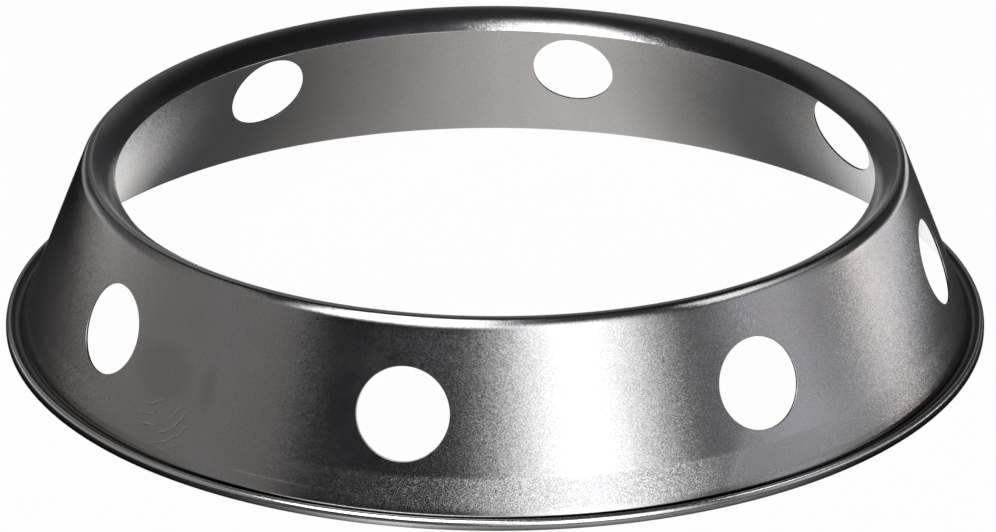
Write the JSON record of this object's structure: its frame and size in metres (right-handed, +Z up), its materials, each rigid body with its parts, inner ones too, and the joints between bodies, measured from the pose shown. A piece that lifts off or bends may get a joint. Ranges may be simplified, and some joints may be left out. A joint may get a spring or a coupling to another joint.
{
  "type": "wok ring",
  "caption": "Round pressed-steel ring with a sloping vented wall, a wide beaded foot and a rolled-in lip that steadies a round-bottomed pan over a burner.",
  "frame": {"origin": "on the ring's axis, at the floor that the wide foot stands on", "axes": "+Z up along the ring's axis from the foot to the lip; -Y through the middle of one vent, the front"},
  "size_m": [0.2476, 0.2476, 0.0439],
  "materials": {
    "plated_steel": "satin plated steel with a fine even grain, a little smudged and rubbed"
  },
  "bodies": {
    "root": {"wok_ring": "plated_steel"}
  },
  "joints": []
}
